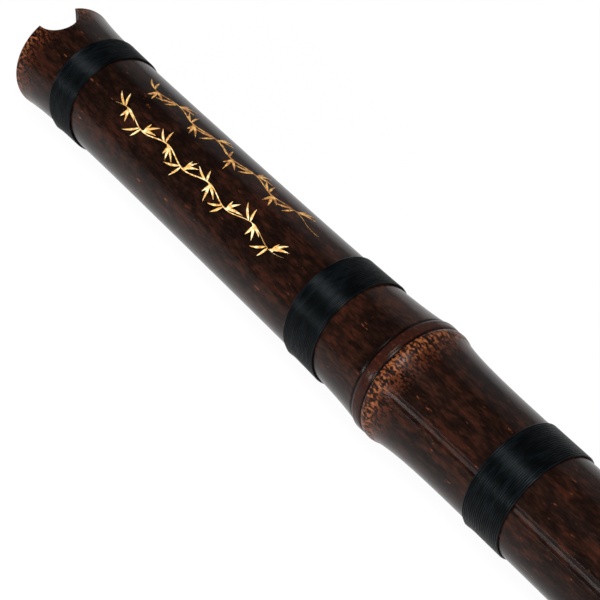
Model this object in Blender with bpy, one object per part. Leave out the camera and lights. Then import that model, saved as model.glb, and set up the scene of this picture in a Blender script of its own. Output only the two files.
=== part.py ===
"""A xiao: a one-piece end-blown bamboo flute with eight thread bindings.

The culm lies along X, with the blowing end at -X and the front finger holes up.
Its node rings rest on the plane z = 0. Units are metres.
"""

import math

import bmesh
import bpy
from mathutils import Vector

# The culm between two nodes
PIPE_DIAMETER = 0.0255
WALL_THICKNESS = 0.0044
BORE_TAPER = 0.0016
PIPE_SIDES = 16
FOOT_CHAMFER = 0.0004

# The blowing end
MOUTH_FLARE = 0.00145
MOUTH_FLARE_REACH = 0.0105
MOUTH_CHAMFER = 0.0002
NOTCH_WIDTH = 0.0102
NOTCH_DEPTH = 0.0052
NOTCH_SLOPE = math.radians(24)

# The notes: where each one speaks, as half a wavelength
SPEAKING_LENGTH = 0.5841
MOUTH_CORRECTION = 0.0320
HOLE_CORRECTION = 0.0120
FRONT_SEMITONES = (2, 4, 5, 7, 9, 10, 11)
THUMB_SEMITONES = 12
HAND_GAP_NOTES = (3, 4)

# The holes
FINGER_HOLE_DIAMETER = 0.0088
VENT_DIAMETER = 0.0080
TASSEL_HOLE_DIAMETER = 0.0060
TASSEL_HOLE_SPREAD = math.radians(64)
VENT_TO_TASSEL = 0.0300
HOLE_SIDES = 16

# The nodes of the bamboo
FIRST_NODE = 0.1366
TASSEL_TO_LAST_NODE = 0.1100
TASSEL_TO_FOOT = 0.1950
BAND_WIDTH = 0.0025
BAND_HEIGHT = 0.00216
SCAR_GROOVE = 0.0003
RIDGE_WIDTH = 0.0030
RIDGE_HEIGHT = 0.0019
SWELL_ABOVE = 0.00150
SWELL_ABOVE_REACH = 0.0100
SWELL_BELOW = 0.00140
SWELL_BELOW_REACH = 0.0070
SWELL_STEPS = 4
DIAPHRAGM_STUMP = 0.0005
DIAPHRAGM_WIDTH = 0.0030

# The branch groove below each node
GROOVE_ANGLE = math.radians(-49.5)
GROOVE_DEPTH = 0.00035
GROOVE_FADE = 0.85

# The thread bindings
THREAD_WIDTH = 0.00102
THREAD_HEIGHT = 0.00045
TURN_GAP = 0.00043
TURNS = 7
MOUTH_TURNS = 6
TURN_POINTS = 20
THREAD_CLEARANCE = 0.0003
MOUTH_BINDING = 0.0191
BINDING_ABOVE_NODE = 0.0214
BINDING_BELOW_NODE = 0.0374
BINDING_ABOVE_THUMB = 0.0180
BINDING_BELOW_TASSEL = 0.0220
BINDING_ABOVE_FOOT = 0.0180

# Looks of the materials
BAMBOO_COLOUR = (0.030, 0.010, 0.006, 1.0)
BAMBOO_ROUGHNESS = 0.30
THREAD_COLOUR = (0.005, 0.006, 0.007, 1.0)
THREAD_ROUGHNESS = 0.28


# Stations along the pipe, from the blowing edge
def note_station(semitones):
    """Where a hole sits so that the pipe sounds this far above its lowest note."""
    speaking = SPEAKING_LENGTH / 2 ** (semitones / 12)
    return speaking - MOUTH_CORRECTION - HOLE_CORRECTION


FRONT_HOLES = [note_station(semitones) for semitones in FRONT_SEMITONES]
THUMB_HOLE = note_station(THUMB_SEMITONES)
VENTS = note_station(0)
TASSEL_HOLES = VENTS + VENT_TO_TASSEL
PIPE_LENGTH = TASSEL_HOLES + TASSEL_TO_FOOT


def midway(first, second):
    return (first + second) / 2


HAND_GAP = midway(*(FRONT_HOLES[note] for note in HAND_GAP_NOTES))
NODES = [FIRST_NODE, HAND_GAP, midway(FRONT_HOLES[0], VENTS), TASSEL_HOLES + TASSEL_TO_LAST_NODE]

# Each binding's middle and how many turns it has
BINDINGS = {
    "mouth_binding": (MOUTH_BINDING, MOUTH_TURNS),
    "upper_node_binding": (FIRST_NODE - BINDING_ABOVE_NODE, TURNS),
    "lower_node_binding": (FIRST_NODE + BINDING_BELOW_NODE, TURNS),
    "thumb_hole_binding": (THUMB_HOLE - BINDING_ABOVE_THUMB, TURNS),
    "middle_hole_binding": (midway(FRONT_HOLES[2], FRONT_HOLES[3]), TURNS),
    "low_hole_binding": (midway(FRONT_HOLES[0], FRONT_HOLES[1]), TURNS),
    "vent_binding": (TASSEL_HOLES + BINDING_BELOW_TASSEL, TURNS),
    "foot_binding": (PIPE_LENGTH - BINDING_ABOVE_FOOT, TURNS),
}

PIPE_RADIUS = PIPE_DIAMETER / 2
BAND_RADIUS = PIPE_RADIUS + BAND_HEIGHT
THREAD_PITCH = THREAD_WIDTH + TURN_GAP
AXIS_HEIGHT = BAND_RADIUS * math.cos(math.pi / PIPE_SIDES)


# The outline of the culm
def culm_radius(station):
    """The radius of the bamboo skin, without the rings at the nodes."""
    swell = MOUTH_FLARE * math.exp(-station / MOUTH_FLARE_REACH)
    for node in NODES:
        above = node - BAND_WIDTH / 2 - station
        below = station - (node + BAND_WIDTH / 2 + RIDGE_WIDTH)
        if above >= 0:
            swell += SWELL_ABOVE * math.exp(-above / SWELL_ABOVE_REACH)
        elif below >= 0:
            swell += SWELL_BELOW * math.exp(-below / SWELL_BELOW_REACH)
    return PIPE_RADIUS + swell


def swell_distances(reach):
    """Distances from a node's ring, close together near it and wide apart far off."""
    return [2.2 * reach * (step / SWELL_STEPS) ** 1.6 for step in range(SWELL_STEPS + 1)]


def node_outline(node):
    """The skin round one node, from the mouth side to the foot side."""
    top = node - BAND_WIDTH / 2
    bottom = node + BAND_WIDTH / 2
    end = bottom + RIDGE_WIDTH
    lip = BAND_WIDTH / 10
    above = [top - distance for distance in reversed(swell_distances(SWELL_ABOVE_REACH))]
    points = [(station, culm_radius(station)) for station in above]
    points.append((top + lip, BAND_RADIUS))
    points.append((bottom - lip, BAND_RADIUS - SCAR_GROOVE / 2))
    points.append((bottom, BAND_RADIUS - SCAR_GROOVE * 1.5))
    points.append((bottom + lip, PIPE_RADIUS + RIDGE_HEIGHT - SCAR_GROOVE / 2))
    points.append((midway(bottom, end), PIPE_RADIUS + RIDGE_HEIGHT))
    below = [end + distance for distance in swell_distances(SWELL_BELOW_REACH)]
    return points + [(station, culm_radius(station)) for station in below]


def skin_outline():
    """The outside of the pipe as (station, radius), from the mouth to the foot."""
    points = [(0.0, culm_radius(0.0) - MOUTH_CHAMFER)]
    flare = [MOUTH_CHAMFER] + swell_distances(MOUTH_FLARE_REACH)[2:]
    points += [(station, culm_radius(station)) for station in flare]
    for node in NODES:
        points += node_outline(node)
    foot = culm_radius(PIPE_LENGTH)
    points.append((PIPE_LENGTH - FOOT_CHAMFER, foot))
    points.append((PIPE_LENGTH, foot - FOOT_CHAMFER))
    return points


def bore_radius(station):
    """The bore narrows evenly from the mouth to the foot."""
    return PIPE_RADIUS - WALL_THICKNESS - BORE_TAPER / 2 * station / PIPE_LENGTH


def bore_outline():
    """The inside of the pipe, from the foot back to the mouth, with the cut diaphragms."""
    points = [(PIPE_LENGTH, bore_radius(PIPE_LENGTH))]
    half = DIAPHRAGM_WIDTH / 2
    for node in reversed(NODES):
        points.append((node + half, bore_radius(node + half)))
        points.append((node + half / 2, bore_radius(node) - DIAPHRAGM_STUMP))
        points.append((node - half / 2, bore_radius(node) - DIAPHRAGM_STUMP))
        points.append((node - half, bore_radius(node - half)))
    points.append((0.0, bore_radius(0.0)))
    return points


def skin_radius(outline, station):
    """The radius of the modelled skin at a station, straight between its points."""
    for (start, first), (end, second) in zip(outline, outline[1:]):
        if start <= station <= end:
            return first + (second - first) * (station - start) / max(end - start, 1e-9)
    return outline[0][1] if station < 0 else outline[-1][1]


def widest_skin(outline, start, end):
    """The largest radius of the skin between two stations."""
    inside = [radius for station, radius in outline if start < station < end]
    return max([skin_radius(outline, start), skin_radius(outline, end)] + inside)


# Materials
def principled(name, colour, roughness):
    material = bpy.data.materials.new(name)
    material.use_nodes = True
    shader = material.node_tree.nodes["Principled BSDF"]
    shader.inputs["Base Color"].default_value = colour
    shader.inputs["Roughness"].default_value = roughness
    shader.inputs["Metallic"].default_value = 0.0
    return material


def bamboo_material():
    return principled("polished_dark_bamboo", BAMBOO_COLOUR, BAMBOO_ROUGHNESS)


def thread_material():
    return principled("black_nylon_thread", THREAD_COLOUR, THREAD_ROUGHNESS)


# Objects
def clear_scene():
    for obj in list(bpy.data.objects):
        bpy.data.objects.remove(obj, do_unlink=True)


def add_object(name, mesh, parent, station=0.0):
    """Links an object whose place is given along the axis of the pipe."""
    obj = bpy.data.objects.new(name, mesh)
    bpy.context.collection.objects.link(obj)
    obj.parent = parent
    obj.location.x = station
    return obj


def mesh_from(work, name, material=None, sharp=math.radians(38)):
    bmesh.ops.recalc_face_normals(work, faces=work.faces[:])
    mesh = bpy.data.meshes.new(name)
    work.to_mesh(mesh)
    work.free()
    mesh.shade_smooth()
    mesh.set_sharp_from_angle(angle=sharp)
    if material:
        mesh.materials.append(material)
    return mesh


def add_frame():
    """The pipe's axis, with its zero at the blowing edge."""
    frame = bpy.data.objects.new("pipe_axis", None)
    bpy.context.collection.objects.link(frame)
    frame.location = (-PIPE_LENGTH / 2, 0.0, AXIS_HEIGHT)
    return frame


# The pipe
def groove_depth(station):
    """How deep the branch groove is, and the angle it lies at, at a station."""
    ends = NODES + [PIPE_LENGTH]
    for count, (node, following) in enumerate(zip(NODES, ends[1:])):
        start = node + BAND_WIDTH / 2 + RIDGE_WIDTH
        if start < station < following - BAND_WIDTH / 2:
            share = (station - start) / (following - start)
            return GROOVE_DEPTH * max(0.0, 1 - GROOVE_FADE * share), count * math.pi
    return 0.0, 0.0


def press_branch_grooves(work):
    """Sinks one row of points below each node, on opposite sides by turns."""
    half_side = math.pi / PIPE_SIDES
    for vert in work.verts:
        radius = math.hypot(vert.co.y, vert.co.z)
        depth, turn = groove_depth(vert.co.x)
        if not depth or radius < PIPE_RADIUS - GROOVE_DEPTH:
            continue
        angle = math.atan2(vert.co.y, vert.co.z)
        off = math.remainder(angle - GROOVE_ANGLE - turn, math.tau)
        if abs(off) < half_side:
            vert.co.y *= 1 - depth / radius
            vert.co.z *= 1 - depth / radius


def revolve_outline(points):
    """Spins a closed (station, radius) outline round the X axis."""
    work = bmesh.new()
    turn = math.pi / PIPE_SIDES
    verts = []
    for station, radius in points:
        place = (station, radius * math.sin(turn), radius * math.cos(turn))
        verts.append(work.verts.new(place))
    edges = [work.edges.new(pair) for pair in zip(verts, verts[1:] + verts[:1])]
    bmesh.ops.spin(
        work,
        geom=verts + edges,
        cent=(0, 0, 0),
        axis=(1, 0, 0),
        angle=math.tau,
        steps=PIPE_SIDES,
        use_merge=True,
    )
    bmesh.ops.remove_doubles(work, verts=work.verts[:], dist=1e-6)
    return work


def add_round_cutter(work, place, direction, diameter, length, sides=HOLE_SIDES):
    """Adds a closed cylinder whose middle is at a place and which runs in a direction."""
    turn = direction.to_track_quat("Z", "Y").to_matrix().to_4x4()
    turn.translation = place
    bmesh.ops.create_cone(
        work,
        cap_ends=True,
        segments=sides,
        radius1=diameter / 2,
        radius2=diameter / 2,
        depth=length,
        matrix=turn,
    )


def outward(angle):
    """The direction across the pipe at an angle from the front, towards +Y."""
    return Vector((0.0, math.sin(angle), math.cos(angle)))


def hole_cutters(parent):
    """One cutter for each hole, each from the bore out through one wall."""
    work = bmesh.new()
    holes = [(station, 0.0, FINGER_HOLE_DIAMETER) for station in FRONT_HOLES]
    holes.append((THUMB_HOLE, math.pi, FINGER_HOLE_DIAMETER))
    for side in (-1, 1):
        holes.append((VENTS, side * math.pi / 2, VENT_DIAMETER))
        holes.append((TASSEL_HOLES, math.pi + side * TASSEL_HOLE_SPREAD / 2, TASSEL_HOLE_DIAMETER))
    for station, angle, diameter in holes:
        direction = outward(angle)
        length = 2 * WALL_THICKNESS
        place = direction * (bore_radius(station) + WALL_THICKNESS / 2)
        place.x = station
        add_round_cutter(work, place, direction, diameter, length)
    return add_cutter("hole_cutters", work, parent)


def notch_cutter(parent):
    """A round cutter that enters the front wall at a slant."""
    radius = (NOTCH_WIDTH**2 / 4 + NOTCH_DEPTH**2) / (2 * NOTCH_DEPTH)
    direction = Vector((math.sin(NOTCH_SLOPE), 0.0, math.cos(NOTCH_SLOPE)))
    skin = Vector((NOTCH_DEPTH - radius, 0.0, culm_radius(NOTCH_DEPTH)))
    work = bmesh.new()
    add_round_cutter(work, skin, direction, 2 * radius, 3 * WALL_THICKNESS, 2 * HOLE_SIDES)
    return add_cutter("notch_cutter", work, parent)


def add_cutter(name, work, parent):
    cutter = add_object(name, mesh_from(work, name), parent)
    cutter.display_type = "WIRE"
    cutter.hide_render = True
    return cutter


def cut(obj, cutter):
    boolean = obj.modifiers.new(cutter.name, "BOOLEAN")
    boolean.operation = "DIFFERENCE"
    boolean.solver = "EXACT"
    boolean.object = cutter


def add_pipe(outline, parent, material):
    work = revolve_outline(outline + bore_outline())
    press_branch_grooves(work)
    pipe = add_object("bamboo_pipe", mesh_from(work, "bamboo_pipe", material), parent)
    cut(pipe, hole_cutters(parent))
    cut(pipe, notch_cutter(parent))
    return pipe


# The bindings
def thread_section(outline, centre, along, angle):
    """The four corners of the flattened thread where it crosses one angle."""
    half = THREAD_WIDTH / 2
    start = centre + along - half
    end = centre + along + half
    clear = widest_skin(outline, start, end) + THREAD_CLEARANCE
    inner = clear / math.cos(math.pi / TURN_POINTS)
    outer = inner + THREAD_HEIGHT
    across = outward(angle)
    corners = [(-half, inner), (half, inner), (half, outer), (-half, outer)]
    return [(along + shift, across.y * radius, across.z * radius) for shift, radius in corners]


def thread_sections(outline, centre, turns):
    """Every section of one binding's thread, a helix with straight ends."""
    sections = []
    for step in range(turns * TURN_POINTS + 1):
        along = THREAD_PITCH * (step / TURN_POINTS - turns / 2)
        angle = math.tau * (step + 0.5) / TURN_POINTS
        sections.append(thread_section(outline, centre, along, angle))
    first = straight_end(sections[0], sections[1])
    last = straight_end(sections[-1], sections[-2])
    return [first] + sections + [last]


def straight_end(section, neighbour):
    """The end section, one thread width on along the last straight stretch's line."""
    run = math.dist(section[0], neighbour[0])
    share = THREAD_WIDTH / run
    ends = []
    for corner, other in zip(section, neighbour):
        ends.append(tuple(a + (a - b) * share for a, b in zip(corner, other)))
    return ends


def least_gap(sections):
    """The smallest distance from any turn of the thread to the next one."""
    gap = math.inf
    for step, section in enumerate(sections[:-TURN_POINTS]):
        for other in sections[step + TURN_POINTS - 1 : step + TURN_POINTS + 2]:
            for corner in section:
                gap = min(gap, min(math.dist(corner, point) for point in other))
    return gap


def thread_tube(sections):
    work = bmesh.new()
    rings = [[work.verts.new(corner) for corner in section] for section in sections]
    for ring, following in zip(rings, rings[1:]):
        for side in range(len(ring)):
            other = (side + 1) % len(ring)
            work.faces.new((ring[side], ring[other], following[other], following[side]))
    work.faces.new(rings[0])
    work.faces.new(rings[-1])
    return work


def add_bindings(outline, parent, material):
    for name, (centre, turns) in BINDINGS.items():
        sections = thread_sections(outline, centre, turns)
        print(f"{name}: {turns} turns, least gap {least_gap(sections) * 1000:.3f} mm")
        mesh = mesh_from(thread_tube(sections), name, material)
        add_object(name, mesh, parent, centre)


def build_xiao():
    clear_scene()
    outline = skin_outline()
    frame = add_frame()
    add_pipe(outline, frame, bamboo_material())
    add_bindings(outline, frame, thread_material())
    print(f"pipe {PIPE_LENGTH * 1000:.1f} mm long")


build_xiao()
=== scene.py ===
"""The looks of a xiao: polished dark bamboo, black thread bindings and painted leaf sprays.

Stations are metres from the blowing edge. Angles are radians from the front, towards +Y.
"""

import logging
import math
from collections.abc import Iterator
from contextlib import contextmanager
from dataclasses import dataclass
from enum import Enum

import bpy
import numpy as np
from mathutils import Matrix, Vector


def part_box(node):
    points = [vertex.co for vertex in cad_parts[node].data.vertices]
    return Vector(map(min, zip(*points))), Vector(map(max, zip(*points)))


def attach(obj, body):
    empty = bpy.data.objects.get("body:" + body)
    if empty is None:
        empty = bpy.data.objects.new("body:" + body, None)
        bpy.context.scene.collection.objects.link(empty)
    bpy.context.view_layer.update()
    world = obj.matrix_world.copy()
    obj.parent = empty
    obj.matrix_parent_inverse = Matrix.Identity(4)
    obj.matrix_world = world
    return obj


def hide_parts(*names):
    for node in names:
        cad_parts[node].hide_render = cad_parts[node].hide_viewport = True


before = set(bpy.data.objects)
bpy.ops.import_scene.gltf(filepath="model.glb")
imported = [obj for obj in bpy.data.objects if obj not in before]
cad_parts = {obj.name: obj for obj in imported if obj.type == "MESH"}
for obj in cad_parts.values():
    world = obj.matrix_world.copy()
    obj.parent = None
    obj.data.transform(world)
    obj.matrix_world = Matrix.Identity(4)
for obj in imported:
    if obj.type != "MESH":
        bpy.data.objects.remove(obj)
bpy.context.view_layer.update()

LOG = logging.getLogger("xiao")
MM = 0.001
BODY = "root"
Triple = tuple[float, float, float]


class Slot(Enum):
    """The record's material slots."""

    BAMBOO = "bamboo"
    THREAD = "thread"


class Tone(Enum):
    """The colours of the bamboo, the thread and the paint, as linear values, with painted shade in the
    node's creases and a painted highlight on the gold paint.
    """

    SOOT = (0.0045, 0.0020, 0.0014)
    BROWN = (0.0125, 0.0048, 0.0030)
    RUSSET = (0.0400, 0.0110, 0.0058)
    EMBER = (0.2000, 0.0580, 0.0200)
    TAN = (0.2300, 0.0740, 0.0260)
    HONEY = (0.6200, 0.3400, 0.1300)
    BAND = (0.0200, 0.0060, 0.0038)
    RUST = (0.0720, 0.0190, 0.0080)
    # Near black: the bore's lacquer, and painted shade in the creases beside each node's band
    INK = (0.0025, 0.0012, 0.0010)
    LACQUER = (0.0160, 0.0045, 0.0030)
    THREAD = (0.0010, 0.0013, 0.0015)
    THREAD_LIGHT = (0.0032, 0.0044, 0.0052)
    # A painted highlight on the gold paint
    CREAM = (0.9000, 0.7000, 0.3800)
    GOLD = (0.7200, 0.4100, 0.1150)
    AMBER = (0.4200, 0.1700, 0.0400)
    UMBER = (0.2000, 0.0700, 0.0180)


# Work on meshes, as by hand


def deselect() -> None:
    """Leaves edit mode and deselects every object."""
    if bpy.context.object and bpy.context.object.mode != "OBJECT":
        bpy.ops.object.mode_set(mode="OBJECT")
    bpy.ops.object.select_all(action="DESELECT")


def activate(obj: bpy.types.Object) -> None:
    """Makes one object the selected and active one."""
    deselect()
    obj.select_set(True)
    bpy.context.view_layer.objects.active = obj


@contextmanager
def editing(obj: bpy.types.Object) -> Iterator[None]:
    """Opens an object in edit mode with all of its points selected.

    Args:
        obj: The object to edit.
    """
    activate(obj)
    bpy.ops.object.mode_set(mode="EDIT")
    bpy.ops.mesh.select_mode(type="VERT")
    bpy.ops.mesh.select_all(action="SELECT")
    yield
    bpy.ops.object.mode_set(mode="OBJECT")


def named(name: str) -> bpy.types.Object:
    """Names the object that an operator has just added.

    Args:
        name: The piece's name.

    Returns:
        The new object.
    """
    obj = bpy.context.object
    obj.name = name
    obj.data.name = name
    return obj


def apply_modifier(obj: bpy.types.Object, kind: str, **settings: object) -> None:
    """Adds a modifier and applies it.

    Args:
        obj: The object that gets it.
        kind: Blender's name for the modifier.
        settings: Its properties.
    """
    modifier = obj.modifiers.new(kind.lower(), kind)
    for key, value in settings.items():
        setattr(modifier, key, value)
    activate(obj)
    bpy.ops.object.modifier_apply(modifier=modifier.name)


def settle(obj: bpy.types.Object) -> None:
    """Puts an object's place into its mesh."""
    activate(obj)
    bpy.ops.object.transform_apply(location=True, rotation=True, scale=True)


def tidy_shell(obj: bpy.types.Object, merge: float = 1e-6) -> None:
    """Merges doubled points and turns the faces outwards.

    Args:
        obj: The object.
        merge: Points nearer than this become one.
    """
    with editing(obj):
        bpy.ops.mesh.remove_doubles(threshold=merge)
        bpy.ops.mesh.normals_make_consistent(inside=False)


def smooth(obj: bpy.types.Object, sharp: float = math.radians(38)) -> None:
    """Shades an object smooth, apart from its sharp edges."""
    activate(obj)
    bpy.ops.object.shade_smooth_by_angle(angle=sharp)


def join(parts: list[bpy.types.Object], name: str) -> bpy.types.Object:
    """Joins objects into one.

    Args:
        parts: The objects.
        name: The name of the result.

    Returns:
        The joined object.
    """
    activate(parts[0])
    for part in parts[1:]:
        part.select_set(True)
    bpy.ops.object.join()
    return named(name)


def points_of(obj: bpy.types.Object) -> np.ndarray:
    """The places of an object's points, one row each."""
    flat = np.empty(len(obj.data.vertices) * 3, dtype=np.float64)
    obj.data.vertices.foreach_get("co", flat)
    return flat.reshape(-1, 3)


def move_points(obj: bpy.types.Object, places: np.ndarray) -> None:
    """Moves an object's points to new places."""
    obj.data.vertices.foreach_set("co", places.ravel())
    obj.data.update()


def ease(value: np.ndarray | float, start: float, end: float) -> np.ndarray | float:
    """Rises smoothly from 0 at the start to 1 at the end.

    Args:
        value: Where to look.
        start: The last place with 0.
        end: The first place with 1.

    Returns:
        The height there.
    """
    share = np.clip((value - start) / (end - start), 0.0, 1.0)
    return share * share * (3.0 - 2.0 * share)


def finish_piece(obj: bpy.types.Object, slot: Slot, *nodes: str) -> None:
    """Hands a piece to the frame and reports it.

    Args:
        obj: The finished piece.
        slot: The material slot that it takes its finish from; not used.
        nodes: The nodes that it stands for.
    """
    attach(obj, BODY)
    if nodes:
        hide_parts(*nodes)
    LOG.info("%s: %d faces", obj.name, len(obj.data.polygons))


# Shader maths


class Field:
    """A number that varies over a surface, with its own arithmetic."""

    def __init__(self, paint: "Paint", socket: bpy.types.NodeSocket) -> None:
        """Wraps a node's output.

        Args:
            paint: The material that it belongs to.
            socket: The output.
        """
        self.paint = paint
        self.socket = socket

    def __add__(self, other: "Field | float") -> "Field":
        """self + other."""
        return self.paint.math("ADD", self, other)

    def __sub__(self, other: "Field | float") -> "Field":
        """self - other."""
        return self.paint.math("SUBTRACT", self, other)

    def __rsub__(self, other: float) -> "Field":
        """other - self."""
        return self.paint.math("SUBTRACT", other, self)

    def __mul__(self, other: "Field | float") -> "Field":
        """self * other."""
        return self.paint.math("MULTIPLY", self, other)

    def __truediv__(self, other: "Field | float") -> "Field":
        """self / other."""
        return self.paint.math("DIVIDE", self, other)

    def above(self, limit: float) -> "Field":
        """1 where the field is over a limit, 0 elsewhere."""
        return self.paint.math("GREATER_THAN", self, limit)

    def rise(self, start: float, end: float) -> "Field":
        """Smoothly 0 up to the start and 1 from the end."""
        node = self.paint.node(
            "ShaderNodeMapRange",
            {"interpolation_type": "SMOOTHSTEP"},
            {"Value": self, "From Min": start, "From Max": end},
        )
        return Field(self.paint, node.outputs["Result"])

    def between(self, start: float, end: float, soft: float) -> "Field":
        """1 between two limits, 0 outside them, with soft edges."""
        return self.rise(start - soft, start + soft) * (1.0 - self.rise(end - soft, end + soft))

    __radd__ = __add__
    __rmul__ = __mul__


class Paint:
    """One material and the nodes that make it."""

    def __init__(self, name: str) -> None:
        """Starts a material that has only its shader.

        Args:
            name: The material's name.
        """
        self.material = bpy.data.materials.new(name)
        self.material.use_nodes = True
        self.tree = self.material.node_tree
        self.shader = self.tree.nodes["Principled BSDF"]

    def node(
        self, kind: str, settings: dict[str, object], inputs: dict[object, object]
    ) -> bpy.types.Node:
        """Makes any node.

        Args:
            kind: Blender's name for the node.
            settings: Its properties, which are set first.
            inputs: The value or the link of each socket.

        Returns:
            The node.
        """
        node = self.tree.nodes.new(kind)
        for key, value in settings.items():
            setattr(node, key, value)
        for key, value in inputs.items():
            self.feed(node.inputs[key], value)
        return node

    def feed(self, socket: bpy.types.NodeSocket, value: object) -> None:
        """Links a socket or sets its value.

        Args:
            socket: The input.
            value: A field, an output, a tone or a plain value.
        """
        if isinstance(value, Field):
            value = value.socket
        if isinstance(value, Tone):
            value = (*value.value, 1.0)
        if isinstance(value, bpy.types.NodeSocket):
            self.tree.links.new(value, socket)
        else:
            socket.default_value = value

    def math(self, operation: str, *values: "Field | float") -> Field:
        """Adds one Math node.

        Args:
            operation: What it does.
            values: Its inputs in order.

        Returns:
            Its result.
        """
        node = self.node("ShaderNodeMath", {"operation": operation}, dict(enumerate(values)))
        return Field(self, node.outputs[0])

    def place(self, origin: Triple) -> tuple[Field, Field, Field]:
        """The place on the object in millimetres.

        Args:
            origin: The point that counts as zero, in metres.

        Returns:
            The station and the two places across the axis.
        """
        where = self.node("ShaderNodeTexCoord", {}, {}).outputs["Object"]
        split = self.node("ShaderNodeSeparateXYZ", {}, {0: where})
        fields = [Field(self, output) for output in split.outputs]
        return tuple((field - start) / MM for field, start in zip(fields, origin))

    def noise(
        self, place: tuple[Field, Field, Field], along: float, across: float, detail: float = 3.0
    ) -> Field:
        """A cloudy pattern, drawn out along the pipe or round it.

        Args:
            place: The place in millimetres.
            along: The size of its patches along the pipe, in millimetres.
            across: Their size across it.
            detail: How many finer layers lie on it.

        Returns:
            The pattern, about 0.5 on average.
        """
        scaled = {0: place[0] / along, 1: place[1] / across, 2: place[2] / across}
        vector = self.node("ShaderNodeCombineXYZ", {}, scaled).outputs[0]
        noise = self.node("ShaderNodeTexNoise", {}, {"Vector": vector, "Scale": 1.0, "Detail": detail})
        return Field(self, noise.outputs[0])

    def mix(self, first: object, second: object, share: Field) -> bpy.types.NodeSocket:
        """Blends two colours.

        Args:
            first: The colour where the share is 0.
            second: The colour where it is 1.
            share: How much of the second there is.

        Returns:
            The blended colour.
        """
        inputs = {"Factor": share, 6: first, 7: second}
        node = self.node("ShaderNodeMix", {"data_type": "RGBA", "clamp_factor": True}, inputs)
        return node.outputs[2]

    def bump(self, height: Field, depth: float) -> None:
        """Roughens the surface.

        Args:
            height: The height as a share of the depth.
            depth: The depth in metres.
        """
        node = self.node("ShaderNodeBump", {}, {"Height": height, "Distance": depth, "Strength": 1.0})
        self.feed(self.shader.inputs["Normal"], node.outputs[0])

    def dress(self, **inputs: object) -> bpy.types.Material:
        """Feeds the shader, with spaces in a socket's name written as underscores.

        Args:
            inputs: The value or the link of each of its sockets.

        Returns:
            The material.
        """
        for key, value in inputs.items():
            self.feed(self.shader.inputs[key.replace("_", " ")], value)
        return self.material


# The shape of the culm


@dataclass(frozen=True)
class NodeRing:
    """The ring at a node: the band, the scar under it and the ridge, with distances from its middle.

    A point of the profile is its distance and its height over the plain skin, in millimetres.
    """

    half_band: float = 1.25 * MM
    ridge_end: float = 4.25 * MM
    swell_above: float = 1.50 * MM
    reach_above: float = 10.0 * MM
    swell_below: float = 1.40 * MM
    reach_below: float = 7.0 * MM
    profile: tuple[tuple[float, float], ...] = (
        (-2.20, 1.36),
        (-1.55, 1.26),
        (-1.30, 1.40),
        (-1.10, 1.72),
        (-0.70, 1.84),
        (0.60, 1.80),
        (1.10, 1.70),
        (1.32, 1.44),
        (1.50, 1.38),
        (1.75, 1.62),
        (2.30, 1.80),
        (2.90, 1.83),
        (3.60, 1.68),
        (4.60, 1.33),
    )

    def height(self, distance: np.ndarray) -> np.ndarray:
        """How far the skin stands out round a node.

        Args:
            distance: Distances from the node, towards the foot.

        Returns:
            The heights over the plain culm.
        """
        before = np.clip(-self.half_band - distance, 0, None)
        after = np.clip(distance - self.ridge_end, 0, None)
        above = self.swell_above * np.exp(-before / self.reach_above)
        below = self.swell_below * np.exp(-after / self.reach_below)
        height = np.where(distance < 0, above, below)
        for (start, low), (end, high) in zip(self.profile, self.profile[1:]):
            inside = (distance >= start * MM) & (distance < end * MM)
            share = ease(distance, start * MM, end * MM)
            height = np.where(inside, (low + (high - low) * share) * MM, height)
        return height


@dataclass(frozen=True)
class BranchGroove:
    """The shallow channel below each node and the bud scar at its top."""

    angle: float = math.radians(-49.0)
    half_width: float = 0.95 * MM
    depth: float = 0.42 * MM
    fade: float = 0.80
    start: float = 4.2 * MM
    run_in: float = 3.0 * MM
    lip: float = 0.07 * MM
    bud: float = 0.22 * MM
    bud_radius: float = 1.2 * MM
    crowding: float = 0.36

    def crowd(self, angle: np.ndarray) -> np.ndarray:
        """Draws the points round the pipe together near the channels."""
        return angle - self.crowding * np.sin(2.0 * (angle - self.angle))


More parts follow.
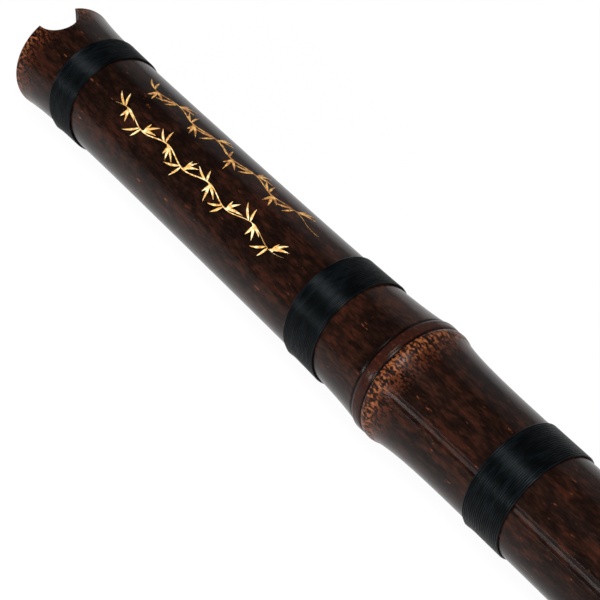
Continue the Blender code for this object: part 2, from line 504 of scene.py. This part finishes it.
@dataclass
class Culm:
    """The measures of the pipe: its outline, its nodes, its holes and its bore."""

    mouth_x: float
    axis_z: float
    length: float
    radius: float = 12.75 * MM
    wall: float = 4.4 * MM
    taper: float = 1.6 * MM
    mouth_flare: float = 1.45 * MM
    flare_reach: float = 10.5 * MM
    mouth_chamfer: float = 0.25 * MM
    foot_chamfer: float = 0.4 * MM
    speaking_length: float = 0.5841
    end_corrections: float = 0.0440
    front_semitones: tuple[int, ...] = (2, 4, 5, 7, 9, 10, 11)
    first_node: float = 0.1366
    vent_to_tassel: float = 0.0300
    tassel_to_last_node: float = 0.1100
    stump: float = 0.5 * MM
    ring: NodeRing = NodeRing()
    groove: BranchGroove = BranchGroove()

    def note(self, semitones: int) -> float:
        """The station of the hole that sounds this far above the lowest note."""
        return self.speaking_length / 2 ** (semitones / 12) - self.end_corrections

    @property
    def front_holes(self) -> list[float]:
        """The stations of the front finger holes, the lowest note first."""
        return [self.note(semitones) for semitones in self.front_semitones]

    @property
    def tassel_holes(self) -> float:
        """The station of the two holes for a tassel."""
        return self.note(0) + self.vent_to_tassel

    @property
    def nodes(self) -> list[float]:
        """The stations of the bamboo's nodes."""
        holes = self.front_holes
        return [
            self.first_node,
            (holes[3] + holes[4]) / 2,
            (holes[0] + self.note(0)) / 2,
            self.tassel_holes + self.tassel_to_last_node,
        ]

    def skin(self, station: np.ndarray | float) -> np.ndarray:
        """The radius of the skin, without its channels.

        Args:
            station: Stations along the pipe.

        Returns:
            The radii there.
        """
        station = np.asarray(station, dtype=float)
        height = self.mouth_flare * np.exp(-station / self.flare_reach)
        heights = [self.ring.height(station - node) for node in self.nodes]
        return self.radius + height + np.maximum.reduce(heights)

    def bore(self, station: float) -> float:
        """The radius of the bore at a station."""
        return self.radius - self.wall - self.taper / 2 * station / self.length

    def hollow(self, station: np.ndarray, angle: np.ndarray) -> np.ndarray:
        """How deep the channels lie below the plain skin.

        Args:
            station: Stations of points.
            angle: Their angles.

        Returns:
            The depths, less than 0 where a lip or a bud stands out.
        """
        depth = np.zeros_like(station)
        ends = self.nodes + [self.length]
        groove = self.groove
        for count, (node, following) in enumerate(zip(ends, ends[1:])):
            middle = groove.angle + count * math.pi
            across = self.radius * np.abs(np.remainder(angle - middle + math.pi, math.tau) - math.pi)
            along = station - node - groove.start
            room = following - self.ring.reach_above - node - groove.start
            share = np.clip(along / room, 0.0, 1.0)
            run = ease(along, 0.0, groove.run_in) * (1.0 - groove.fade * share)
            run = run * (1.0 - ease(share, 0.9, 1.0))
            channel = 1.0 - ease(across, 0.45 * groove.half_width, groove.half_width)
            lip = np.exp(-(((across - 1.25 * groove.half_width) / (0.3 * groove.half_width)) ** 2))
            reach = (across**2 + along**2) / groove.bud_radius**2
            depth += run * (groove.depth * channel - groove.lip * lip)
            depth -= groove.bud * np.exp(-reach)
        return depth


def world_place(culm: Culm, station: float, angle: float, radius: float) -> Vector:
    """Where a station, an angle and a radius lie.

    Args:
        culm: The pipe.
        station: The station along it.
        angle: The angle round it.
        radius: The distance from its axis.

    Returns:
        The place in the frame.
    """
    across = radius * math.sin(angle)
    up = radius * math.cos(angle)
    return Vector((culm.mouth_x + station, across, culm.axis_z + up))


# The finishes


@dataclass(frozen=True)
class BambooSkin:
    """Dark smoked bamboo under a thin gloss, speckled with tan at the rim and under the nodes.

    A pattern has the size of its patches along the pipe and across it. A zone round a node has its
    start, its end and the softness of both. All of these are in millimetres.
    """

    mottle: tuple[float, float] = (3.6, 1.5)
    streak: tuple[float, float] = (1.9, 0.42)
    fleck: tuple[float, float] = (3.6, 1.0)
    speck: tuple[float, float] = (0.9, 0.62)
    cloud: tuple[float, float] = (26.0, 8.0)
    rim_reach: float = 3.4
    ridge_start: tuple[float, float] = (1.7, 2.2)
    ridge_reach: float = 5.9
    rust_reach: float = 4.5
    band: tuple[float, float, float] = (-1.28, 1.25, 0.10)
    # The two creases beside the band, which are darkened as painted shade
    upper_crease_shade: tuple[float, float, float] = (-2.05, -1.32, 0.16)
    lower_crease_shade: tuple[float, float, float] = (1.27, 1.62, 0.10)
    relief: float = 0.025 * MM
    ior: float = 1.20

    def distance(self, station: Field, nodes: list[float]) -> Field:
        """The distance from the nearest node, towards the foot, in millimetres."""
        distance = station - nodes[0]
        for node, following in zip(nodes, nodes[1:]):
            distance = distance - station.above((node + following) / 2) * (following - node)
        return distance

    def build(self, culm: Culm) -> bpy.types.Material:
        """Makes the material.

        Args:
            culm: The pipe that it is for.

        Returns:
            The material.
        """
        paint = Paint("smoked_bamboo_skin")
        place = paint.place((culm.mouth_x, 0.0, culm.axis_z))
        mottle = paint.noise(place, *self.mottle, detail=6.0)
        streak = paint.noise(place, *self.streak, detail=4.0)
        fleck = paint.noise(place, *self.fleck, detail=4.0)
        speck = paint.noise(place, *self.speck, detail=4.0)
        cloud = paint.noise(place, *self.cloud)
        station = place[0]
        distance = self.distance(station, [node / MM for node in culm.nodes])

        # The smoked ground
        shade = mottle * 0.6 + streak * 0.4 + (cloud - 0.5) * 0.45
        sparks = fleck.rise(0.66, 0.74) * streak.rise(0.42, 0.60)
        colour = paint.mix(Tone.SOOT, Tone.BROWN, shade.rise(0.34, 0.60))
        colour = paint.mix(colour, Tone.RUSSET, shade.rise(0.48, 0.74) * 0.85)
        colour = paint.mix(colour, Tone.EMBER, sparks * 0.85)

        # The ragged pale zones at the rim and under each node
        ragged = (mottle - 0.5) * 6.0 + (speck - 0.5) * 5.0
        edge = station + ragged
        below = distance + ragged * 0.6
        under = distance.rise(*self.ridge_start)
        rim = 1.0 - edge.rise(0.3 * self.rim_reach, self.rim_reach)
        ridge = under * (1.0 - below.rise(0.7 * self.ridge_reach, self.ridge_reach))
        rim_rust = 1.0 - edge.rise(self.rim_reach, self.rim_reach + self.rust_reach)
        ridge_rust = under * (1.0 - below.rise(self.ridge_reach, self.ridge_reach + self.rust_reach))
        pale = rim + ridge
        grains = speck * 0.7 + streak * 0.3
        colour = paint.mix(colour, Tone.RUST, (rim_rust + ridge_rust) * grains.rise(0.46, 0.58) * 0.8)
        colour = paint.mix(colour, Tone.TAN, pale * grains.rise(0.47, 0.62) * 0.9)

        # The scar ring between its two thin dark creases, darkened as painted shade
        ring = paint.mix(Tone.BAND, Tone.RUST, grains.rise(0.50, 0.72) * 0.7)
        # Painted shade: the creases either side of the band are darkened nearly to black
        crease_shade = distance.between(*self.upper_crease_shade) + distance.between(*self.lower_crease_shade)
        colour = paint.mix(colour, ring, distance.between(*self.band))
        colour = paint.mix(colour, Tone.INK, crease_shade * 0.92)

        rough = 0.17 + streak * 0.12 + pale * 0.10
        paint.bump(streak * 0.6 + speck * (pale + 0.15) * 0.6, self.relief)
        return paint.dress(Base_Color=colour, Roughness=rough, IOR=self.ior)


@dataclass(frozen=True)
class CutBamboo:
    """Pale raw bamboo where the wall is cut across, with the dots of its fibres."""

    dots: tuple[float, float] = (0.5, 0.32)
    cloud: tuple[float, float] = (3.0, 3.0)
    relief: float = 0.03 * MM

    def build(self, culm: Culm) -> bpy.types.Material:
        """Makes the material for a pipe."""
        paint = Paint("cut_bamboo")
        place = paint.place((culm.mouth_x, 0.0, culm.axis_z))
        dots = paint.noise(place, *self.dots, detail=2.0)
        cloud = paint.noise(place, *self.cloud)
        colour = paint.mix(Tone.HONEY, Tone.TAN, cloud.rise(0.35, 0.65))
        colour = paint.mix(colour, Tone.BAND, dots.rise(0.58, 0.70) * 0.7)
        paint.bump(dots, self.relief)
        return paint.dress(Base_Color=colour, Roughness=0.45 + dots * 0.2)


@dataclass(frozen=True)
class BoreLacquer:
    """Dark lacquer inside the bore and the holes."""

    streak: tuple[float, float] = (14.0, 1.4)
    relief: float = 0.04 * MM
    ior: float = 1.20

    def build(self, culm: Culm) -> bpy.types.Material:
        """Makes the material for a pipe."""
        paint = Paint("bore_lacquer")
        place = paint.place((culm.mouth_x, 0.0, culm.axis_z))
        streak = paint.noise(place, *self.streak)
        colour = paint.mix(Tone.INK, Tone.LACQUER, streak.rise(0.3, 0.6))
        paint.bump(streak, self.relief)
        return paint.dress(Base_Color=colour, Roughness=0.45 + streak * 0.2, IOR=self.ior)


@dataclass(frozen=True)
class NylonThread:
    """Black glossy thread with fine strands along it."""

    strand: tuple[float, float] = (0.11, 3.0)
    cloud: tuple[float, float] = (1.1, 4.0)
    relief: float = 0.02 * MM
    gloss_tint: tuple[float, float, float, float] = (0.80, 0.93, 1.0, 1.0)
    ior: float = 1.17

    def build(self, culm: Culm) -> bpy.types.Material:
        """Makes the material for a pipe."""
        paint = Paint("black_nylon_thread")
        place = paint.place((culm.mouth_x, 0.0, culm.axis_z))
        strand = paint.noise(place, *self.strand, detail=2.0)
        cloud = paint.noise(place, *self.cloud)
        colour = paint.mix(Tone.THREAD, Tone.THREAD_LIGHT, cloud.rise(0.40, 0.70))
        rough = 0.22 + strand * 0.10
        paint.bump(strand, self.relief)
        paint.dress(IOR=self.ior, Specular_Tint=self.gloss_tint)
        return paint.dress(Base_Color=colour, Roughness=rough)


@dataclass(frozen=True)
class LeafPaint:
    """Old gold paint, worn to a darker tone in places, with lighter patches that are a painted highlight
    where they are cream.
    """

    name: str
    # The tone of the lighter patches: cream in the bright spray, which is a painted highlight; gold in
    # the dull spray, which is a lighter paint tone
    light: Tone
    body: Tone
    worn: Tone
    patch: tuple[float, float] = (1.3, 0.9)
    grain: tuple[float, float] = (0.5, 0.22)
    relief: float = 0.02 * MM

    def build(self, culm: Culm) -> bpy.types.Material:
        """Makes the material for a pipe."""
        paint = Paint(self.name)
        place = paint.place((culm.mouth_x, 0.0, culm.axis_z))
        patch = paint.noise(place, *self.patch)
        grain = paint.noise(place, *self.grain, detail=2.0)
        wear = grain * 0.6 + (1.0 - patch) * 0.4
        # Lighter patches; the cream ones are a painted highlight on the gold
        colour = paint.mix(self.body, self.light, patch.rise(0.46, 0.60))
        colour = paint.mix(colour, self.worn, wear.rise(0.52, 0.62))
        paint.bump(grain, self.relief)
        return paint.dress(Base_Color=colour, Roughness=0.38 + grain * 0.2)


# The pieces


@dataclass
class Pipe:
    """The bamboo pipe with its holes, its notch and its bore."""

    culm: Culm
    sides: int = 144
    mouth_zone: float = 30 * MM
    zone_above_node: float = 7 * MM
    zone_below_node: float = 10 * MM
    mouth_step: float = 1.3 * MM
    plain_step: float = 3.6 * MM
    swell_step: float = 0.75 * MM
    fine_step: float = 0.17 * MM
    bore_step: float = 12 * MM
    unevenness: float = 0.035 * MM
    finger_hole: float = 8.8 * MM
    vent: float = 8.0 * MM
    tassel_hole: float = 6.0 * MM
    tassel_spread: float = math.radians(64)
    hole_sides: int = 40
    hole_overrun: float = 2.5 * MM
    notch_width: float = 10.2 * MM
    notch_depth: float = 5.2 * MM
    notch_slope: float = math.radians(24)
    notch_sides: int = 128
    notch_cut: float = 14.08 * MM
    notch_spread: float = 1.04

    def stations(self) -> list[float]:
        """The stations of the skin's rings, close together at the mouth and the nodes."""
        culm = self.culm
        spots = list(np.arange(culm.mouth_chamfer, self.mouth_zone, self.mouth_step))
        spots += list(np.arange(self.mouth_zone, culm.length - culm.foot_chamfer, self.plain_step))
        above, below = self.zone_above_node, self.zone_below_node
        for node in culm.nodes:
            spots = [spot for spot in spots if not -above < spot - node < below]
            spots += list(np.arange(node - 2.3 * MM, node + 4.8 * MM, self.fine_step))
            spots += list(np.arange(node - above, node - 2.4 * MM, self.swell_step))
            spots += list(np.arange(node + 4.9 * MM, node + below, self.swell_step))
        return sorted(spots) + [culm.length - culm.foot_chamfer]

    def outline(self) -> list[tuple[float, float]]:
        """The closed outline of the wall as stations and radii, outside first."""
        culm = self.culm
        points = [(0.0, float(culm.skin(0.0)) - culm.mouth_chamfer)]
        points += [(station, float(culm.skin(station))) for station in self.stations()]
        points.append((culm.length, float(culm.skin(culm.length)) - culm.foot_chamfer))
        inner = [(culm.length, culm.bore(culm.length)), (0.0, culm.bore(0.0))]
        stump = ((-1.6, 0.0), (-1.1, 0.7), (-0.5, 1.0), (0.4, 1.0), (1.1, 0.6), (1.7, 0.0))
        for station in np.arange(self.bore_step, culm.length - self.bore_step / 2, self.bore_step):
            if all(abs(station - node) > 4 * MM for node in culm.nodes):
                inner.append((station, culm.bore(station)))
        for node in culm.nodes:
            for shift, height in stump:
                inner.append((node + shift * MM, culm.bore(node) - height * culm.stump))
        return points + sorted(inner, reverse=True)

    def spin_wall(self) -> bpy.types.Object:
        """Draws the outline point by point and spins it round the axis."""
        culm = self.culm
        deselect()
        points = self.outline()
        bpy.ops.mesh.primitive_plane_add(size=MM)
        obj = named("flute_pipe")
        with editing(obj):
            bpy.ops.mesh.merge(type="CENTER")
            start = (culm.mouth_x + points[0][0], 0.0, culm.axis_z + points[0][1])
            bpy.ops.transform.translate(value=start)
            for (station, radius), (following, wider) in zip(points, points[1:]):
                step = (following - station, 0.0, wider - radius)
                bpy.ops.mesh.extrude_region_move(TRANSFORM_OT_translate={"value": step})
            bpy.ops.mesh.select_all(action="DESELECT")
        for end in (0, len(points) - 1):
            obj.data.vertices[end].select = True
        activate(obj)
        bpy.ops.object.mode_set(mode="EDIT")
        bpy.ops.mesh.edge_face_add()
        bpy.ops.mesh.select_all(action="SELECT")
        centre = (0.0, 0.0, culm.axis_z)
        bpy.ops.mesh.spin(steps=self.sides, angle=math.tau, center=centre, axis=(1.0, 0.0, 0.0))
        bpy.ops.object.mode_set(mode="OBJECT")
        tidy_shell(obj, merge=2e-6)
        return obj

    def shape_skin(self, obj: bpy.types.Object) -> None:
        """Sinks the channels, raises the buds and takes the lathe's evenness off the skin."""
        culm = self.culm
        places = points_of(obj)
        station = places[:, 0] - culm.mouth_x
        across, up = places[:, 1], places[:, 2] - culm.axis_z
        radius = np.hypot(across, up)
        angle = culm.groove.crowd(np.arctan2(across, up))
        outside = radius > culm.radius - culm.wall / 2
        near = np.min([np.abs(station - node - 1.5 * MM) for node in culm.nodes], axis=0)
        calm = ease(near, 4 * MM, 14 * MM) * ease(station, 4 * MM, 15 * MM)
        wave = np.sin(2 * angle + station / (31 * MM)) + 0.6 * np.sin(3 * angle - station / (17 * MM))
        sunk = culm.hollow(station, angle) - self.unevenness * calm * wave
        radius = radius - np.where(outside, sunk, 0.0)
        places[:, 1] = radius * np.sin(angle)
        places[:, 2] = culm.axis_z + radius * np.cos(angle)
        move_points(obj, places)

    def dress_faces(self, obj: bpy.types.Object) -> None:
        """Gives the skin, the cut ends and the bore their materials."""
        culm = self.culm
        for finish in (BambooSkin(), CutBamboo(), BoreLacquer()):
            obj.data.materials.append(finish.build(culm))
        for face in obj.data.polygons:
            station = face.center.x - culm.mouth_x
            radius = math.hypot(face.center.y, face.center.z - culm.axis_z)
            at_end = station < culm.mouth_chamfer or station > culm.length - culm.foot_chamfer
            if radius < culm.radius - culm.wall + 0.1 * MM:
                face.material_index = 2
            elif at_end:
                face.material_index = 1

    def hole_cutter(self, station: float, angle: float, diameter: float) -> bpy.types.Object:
        """One hole's cutter, whose rings follow the saddle of the skin and open at a soft lip.

        Args:
            station: The hole's station.
            angle: Its angle round the pipe.
            diameter: Its diameter.

        Returns:
            The cutter.
        """
        culm = self.culm
        skin = float(culm.skin(station))
        half = diameter / 2
        floor = culm.bore(station) - self.hole_overrun
        rings = ((-0.55, 0.0), (-0.22, 0.05), (-0.02, 0.17), (0.12, 0.40), (1.50, 1.10))
        deselect()
        bpy.ops.mesh.primitive_circle_add(vertices=self.hole_sides, radius=half, fill_type="NGON")
        cutter = named("hole_cutter")
        with editing(cutter):
            for _ in rings:
                bpy.ops.mesh.extrude_region_move(TRANSFORM_OT_translate={"value": (0.0, 0.0, MM)})
        places = points_of(cutter)
        layer = np.rint(places[:, 2] / MM).astype(int)
        for index, (offset, growth) in enumerate(rings, start=1):
            ring = layer == index
            places[ring, :2] *= 1 + growth * MM / half
            saddle = np.sqrt(skin**2 - np.clip(np.abs(places[ring, 1]), 0, 0.9 * skin) ** 2)
            places[ring, 2] = saddle + offset * MM
        places[layer == 0, 2] = floor
        move_points(cutter, places)
        turn = Matrix.Rotation(-angle, 4, "X")
        cutter.data.transform(Matrix.Translation(world_place(culm, station, 0.0, 0.0)) @ turn)
        tidy_shell(cutter)
        return cutter

    def notch_cutter(self) -> bpy.types.Object:
        """The round cutter of the blowing notch, which enters the front wall at a slant."""
        culm = self.culm
        radius = (self.notch_width**2 / 4 + self.notch_depth**2) / (2 * self.notch_depth)
        middle = world_place(culm, self.notch_depth - radius, 0.0, float(culm.skin(self.notch_depth)))
        deselect()
        bpy.ops.mesh.primitive_cylinder_add(
            vertices=self.notch_sides, radius=radius, depth=self.notch_cut, location=middle
        )
        cutter = named("notch_cutter")
        with editing(cutter):
            bpy.ops.mesh.select_all(action="DESELECT")
        for vertex in cutter.data.vertices:
            vertex.select = vertex.co.z > 0
        activate(cutter)
        bpy.ops.object.mode_set(mode="EDIT")
        spread = (self.notch_spread, self.notch_spread, 1.0)
        bpy.ops.transform.resize(value=spread, center_override=middle)
        bpy.ops.object.mode_set(mode="OBJECT")
        cutter.rotation_euler.y = self.notch_slope
        settle(cutter)
        return cutter

    def cut(self, obj: bpy.types.Object) -> None:
        """Cuts the holes and the notch."""
        culm = self.culm
        holes = [(station, 0.0, self.finger_hole) for station in culm.front_holes]
        holes.append((culm.note(12), math.pi, self.finger_hole))
        for side in (-1, 1):
            holes.append((culm.note(0), side * math.pi / 2, self.vent))
            holes.append((culm.tassel_holes, math.pi + side * self.tassel_spread / 2, self.tassel_hole))
        lacquer = obj.data.materials[2]
        cutters = [self.hole_cutter(*hole) for hole in holes]
        for cutter in (join(cutters, "holes_cutter"), self.notch_cutter()):
            cutter.data.materials.append(lacquer)
            apply_modifier(
                obj,
                "BOOLEAN",
                operation="DIFFERENCE",
                solver="EXACT",
                object=cutter,
                material_mode="TRANSFER",
            )
            bpy.data.objects.remove(cutter, do_unlink=True)

    def build(self) -> bpy.types.Object:
        """Makes the pipe.

        Returns:
            The finished piece.
        """
        obj = self.spin_wall()
        self.shape_skin(obj)
        self.dress_faces(obj)
        self.cut(obj)
        smooth(obj)
        finish_piece(obj, Slot.BAMBOO, "bamboo_pipe")
        return obj


@dataclass
class Binding:
    """One winding of thread, turn beside turn, that lies on the skin."""

    culm: Culm
    node: str
    material: bpy.types.Material
    thread: float = 0.50 * MM
    lift: float = 0.02 * MM
    sides: int = 8
    steps: int = 72
    first_angle: float = math.radians(200)
    end_angle: float = math.radians(-115)
    end_height: float = 0.20 * MM
    end_reach: float = 2.6 * MM
    end_spread: float = math.radians(5.0)

    def wind(self, start: float, turns: int) -> bpy.types.Object:
        """Winds the thread round the axis at an even radius.

        Args:
            start: The station of the first turn's middle.
            turns: The number of turns.

        Returns:
            The winding, open at its two ends.
        """
        culm = self.culm
        deselect()
        place = (culm.mouth_x + start, 0.0, culm.axis_z)
        half = self.thread / 2
        bpy.ops.mesh.primitive_circle_add(vertices=self.sides, radius=half, location=place)
        obj = named(self.node + "_thread")
        with editing(obj):
            bpy.ops.transform.rotate(value=math.pi / 2, orient_axis="X", center_override=place)
            bpy.ops.transform.translate(value=(0.0, 0.0, culm.radius))
        apply_modifier(
            obj,
            "SCREW",
            axis="X",
            angle=math.tau,
            steps=self.steps,
            render_steps=self.steps,
            iterations=turns,
            screw_offset=self.thread,
            use_merge_vertices=False,
        )
        settle(obj)
        return obj

    def lay_on_skin(self, obj: bpy.types.Object, start: float) -> None:
        """Moves each turn in or out to the skin and raises the tucked end.

        Args:
            obj: The winding.
            start: The station of its first turn.
        """
        culm = self.culm
        places = points_of(obj)
        station = places[:, 0] - culm.mouth_x
        across, up = places[:, 1], places[:, 2] - culm.axis_z
        angle = np.arctan2(across, up) + self.first_angle
        seat = culm.skin(station) + self.thread / 2 + self.lift
        off = np.remainder(angle - self.end_angle + math.pi, math.tau) - math.pi
        early = 1.0 - ease(station - start, 0.3 * self.end_reach, self.end_reach)
        tuck = np.exp(-((off / self.end_spread) ** 2)) * early
        radius = np.hypot(across, up) - culm.radius + seat + self.end_height * tuck
        places[:, 1] = radius * np.sin(angle)
        places[:, 2] = culm.axis_z + radius * np.cos(angle)
        move_points(obj, places)

    def build(self) -> bpy.types.Object:
        """Makes the winding inside its node's place.

        Returns:
            The finished piece.
        """
        low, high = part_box(self.node)
        width = high[0] - low[0]
        turns = int(width / self.thread) - 1
        start = (low[0] + high[0]) / 2 - self.culm.mouth_x - turns * self.thread / 2
        obj = self.wind(start, turns)
        self.lay_on_skin(obj, start)
        with editing(obj):
            bpy.ops.mesh.select_all(action="DESELECT")
            bpy.ops.mesh.select_non_manifold()
            bpy.ops.mesh.fill_holes(sides=0)
            bpy.ops.mesh.select_all(action="SELECT")
            bpy.ops.mesh.normals_make_consistent(inside=False)
        obj.data.materials.append(self.material)
        smooth(obj, math.radians(60))
        finish_piece(obj, Slot.THREAD, self.node)
        return obj


@dataclass
class LeafSpray:
    """A slender painted spray of bamboo leaves that runs along the pipe."""

    culm: Culm
    name: str
    angle: float
    finish: LeafPaint
    start: float = 34.5 * MM
    end: float = 101.0 * MM
    pitch: float = 8.3 * MM
    sway: float = 0.9 * MM
    stem_width: float = 0.30 * MM
    leaf_width: float = 0.66 * MM
    lift: float = 0.03 * MM
    thickness: float = 0.05 * MM
    fan: tuple[tuple[float, float], ...] = ((-152, 4.6), (-118, 3.4), (24, 4.9), (58, 4.0), (98, 2.6))

    def stem_sway(self, along: np.ndarray | float) -> np.ndarray | float:
        """How far the stem swings to the side at a station."""
        return self.sway * np.sin((along - self.start) / self.pitch * math.pi)

    def flat_strip(self, length: float, width: float, cuts: int) -> bpy.types.Object:
        """A flat pointed strip along X that starts at the origin.

        Args:
            length: Its length.
            width: Its width at its widest.
            cuts: The number of faces along it.

        Returns:
            The strip.
        """
        deselect()
        bpy.ops.mesh.primitive_grid_add(x_subdivisions=cuts, y_subdivisions=4, size=1.0)
        strip = named("strip")
        places = points_of(strip)
        share = places[:, 0] + 0.5
        fullness = np.sin(math.pi * np.clip(share, 0, 1) ** 0.72) ** 0.9
        places[:, 0] = share * length
        places[:, 1] *= width * np.clip(fullness, 0.02, 1.0)
        places[:, 1] += 0.05 * length * np.sin(math.pi * share)
        move_points(strip, places)
        return strip

    def leaves(self) -> list[bpy.types.Object]:
        """The leaves of the whole spray, laid out flat."""
        found = []
        count = int((self.end - self.start) / self.pitch)
        for step in range(count):
            side = 1 if step % 2 else -1
            root = self.start + (step + 0.45) * self.pitch
            for order, (turn, length) in enumerate(self.fan):
                vary = 1.0 + 0.12 * math.sin(2.3 * step + 1.7 * order)
                leaf = self.flat_strip(length * vary * MM, self.leaf_width * (0.8 + 0.08 * order), 12)
                shift = 0.5 * (order - 2) * MM
                twist = turn * side + 9 * math.sin(1.9 * step + order)
                turned = Matrix.Rotation(math.radians(twist), 4, "Z")
                place = Matrix.Translation((root + shift, self.stem_sway(root + shift), 0.0))
                leaf.data.transform(place @ turned)
                found.append(leaf)
        return found

    def stem(self) -> bpy.types.Object:
        """The stem, as a thin strip that sways from leaf to leaf."""
        strip = self.flat_strip(self.end - self.start, self.stem_width, 90)
        places = points_of(strip)
        along = places[:, 0] + self.start
        middle = 0.05 * (self.end - self.start) * np.sin(math.pi * places[:, 0] / (self.end - self.start))
        places[:, 1] += self.stem_sway(along) - middle
        places[:, 0] = along
        move_points(strip, places)
        return strip

    def wrap(self, obj: bpy.types.Object) -> None:
        """Bends the flat spray round the skin."""
        culm = self.culm
        places = points_of(obj)
        station, across, height = places[:, 0].copy(), places[:, 1].copy(), places[:, 2].copy()
        angle = self.angle + across / culm.radius
        radius = culm.skin(station) - culm.hollow(station, angle) + self.lift + height
        places[:, 0] = culm.mouth_x + station
        places[:, 1] = radius * np.sin(angle)
        places[:, 2] = culm.axis_z + radius * np.cos(angle)
        move_points(obj, places)

    def build(self) -> bpy.types.Object:
        """Makes the spray.

        Returns:
            The finished piece.
        """
        obj = join([self.stem(), *self.leaves()], self.name)
        apply_modifier(obj, "SOLIDIFY", thickness=self.thickness, offset=0.0)
        self.wrap(obj)
        tidy_shell(obj, merge=1e-7)
        obj.data.materials.append(self.finish.build(self.culm))
        smooth(obj)
        finish_piece(obj, Slot.BAMBOO)
        return obj


# The stage


@dataclass(frozen=True)
class Softbox:
    """A long soft lamp that runs along the pipe and faces its axis."""

    name: str
    angle: float
    width: float
    radiance: float
    distance: float = 1.0
    middle: float = -0.72
    length: float = 2.2

    def build(self, culm: Culm) -> None:
        """Adds the lamp.

        Args:
            culm: The pipe that it lights.
        """
        data = bpy.data.lights.new(self.name, "AREA")
        data.shape = "RECTANGLE"
        data.size = self.length
        data.size_y = self.width
        data.energy = math.pi * self.length * self.width * self.radiance
        lamp = bpy.data.objects.new(self.name, data)
        bpy.context.collection.objects.link(lamp)
        lamp.location = (
            self.middle,
            self.distance * math.sin(self.angle),
            culm.axis_z + self.distance * math.cos(self.angle),
        )
        lamp.rotation_euler.x = -self.angle
        lamp.visible_camera = False


@dataclass
class Studio:
    """The camera, the lamps and the pale floor."""

    culm: Culm
    camera_from_mouth: Triple = (0.32203, -0.15529, 0.28888)
    target_from_mouth: Triple = (0.08861, 0.00666, -0.02046)
    lens: float = 107.056
    roll: float = math.radians(-3.30)
    floor_size: float = 30.0
    floor_white: float = 0.96
    sky: float = 0.05
    softboxes: tuple[Softbox, ...] = (
        Softbox("overhead_softbox", math.radians(-12), 0.27, 17.0, middle=0.45, length=1.6),
        Softbox("side_strip", math.radians(-66), 0.08, 22.0, middle=0.30, length=2.0),
        Softbox("far_fill", math.radians(62), 0.95, 0.50, distance=1.2),
    )

    def add_camera(self) -> None:
        """Adds the camera at the photograph's angle."""
        data = bpy.data.cameras.new("camera")
        data.lens = self.lens
        data.sensor_width = 36.0
        data.clip_start = 0.01
        camera = bpy.data.objects.new("camera", data)
        bpy.context.collection.objects.link(camera)
        origin = Vector((self.culm.mouth_x, 0.0, self.culm.axis_z))
        place = origin + Vector(self.camera_from_mouth)
        sight = origin + Vector(self.target_from_mouth) - place
        turn = sight.to_track_quat("-Z", "Y").to_matrix().to_4x4()
        camera.matrix_world = Matrix.Translation(place) @ turn @ Matrix.Rotation(self.roll, 4, "Z")
        bpy.context.scene.camera = camera

    def add_floor(self) -> None:
        """Adds the floor, which shows white and keeps a soft shadow."""
        deselect()
        bpy.ops.mesh.primitive_grid_add(x_subdivisions=8, y_subdivisions=8, size=self.floor_size)
        floor = named("floor")
        paint = Paint("pale_floor")
        paint.dress(Base_Color=(0.86, 0.86, 0.86, 1.0), Roughness=0.9)
        rays = paint.node("ShaderNodeLightPath", {}, {})
        seen = Field(paint, rays.outputs["Is Camera Ray"]) + Field(paint, rays.outputs["Is Glossy Ray"])
        seen = seen + Field(paint, rays.outputs["Is Transmission Ray"])
        share = paint.math("MINIMUM", seen, 1.0) * self.floor_white
        glow = paint.node("ShaderNodeEmission", {}, {"Color": (1.0, 1.0, 1.0, 1.0), "Strength": 1.0})
        shaders = {0: share, 1: paint.shader.outputs[0], 2: glow.outputs[0]}
        blend = paint.node("ShaderNodeMixShader", {}, shaders)
        out = paint.tree.nodes["Material Output"]
        paint.feed(out.inputs["Surface"], blend.outputs[0])
        floor.data.materials.append(paint.material)

    def add_sky(self) -> None:
        """Fills the room with a dim even light."""
        world = bpy.data.worlds.new("room")
        world.use_nodes = True
        world.node_tree.nodes["Background"].inputs["Color"].default_value = (1.0, 1.0, 1.0, 1.0)
        world.node_tree.nodes["Background"].inputs["Strength"].default_value = self.sky
        bpy.context.scene.world = world

    def build(self) -> None:
        """Sets the stage."""
        self.add_camera()
        self.add_floor()
        self.add_sky()
        for softbox in self.softboxes:
            softbox.build(self.culm)
        bpy.context.scene.view_settings.view_transform = "Standard"


def main() -> None:
    """Builds the pieces in order and reports each one."""
    logging.basicConfig(level=logging.INFO, format="%(name)s %(message)s")
    low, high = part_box("bamboo_pipe")
    culm = Culm(mouth_x=low[0], axis_z=(low[2] + high[2]) / 2, length=high[0] - low[0])
    Studio(culm).build()
    Pipe(culm).build()
    thread = NylonThread().build(culm)
    for node in sorted(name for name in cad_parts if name.endswith("_binding")):
        Binding(culm, node, thread).build()
    # The bright spray's cream patches are a painted highlight
    gold_with_painted_highlight = LeafPaint("gold_paint_with_painted_highlight", Tone.CREAM, Tone.GOLD, Tone.AMBER)
    dull = LeafPaint("dull_gold_paint", Tone.GOLD, Tone.AMBER, Tone.UMBER)
    LeafSpray(culm, "left_leaf_spray", math.radians(-25), gold_with_painted_highlight).build()
    LeafSpray(culm, "right_leaf_spray", math.radians(20.5), dull, pitch=7.6 * MM, sway=-0.7 * MM).build()


if __name__ == "__main__":
    main()
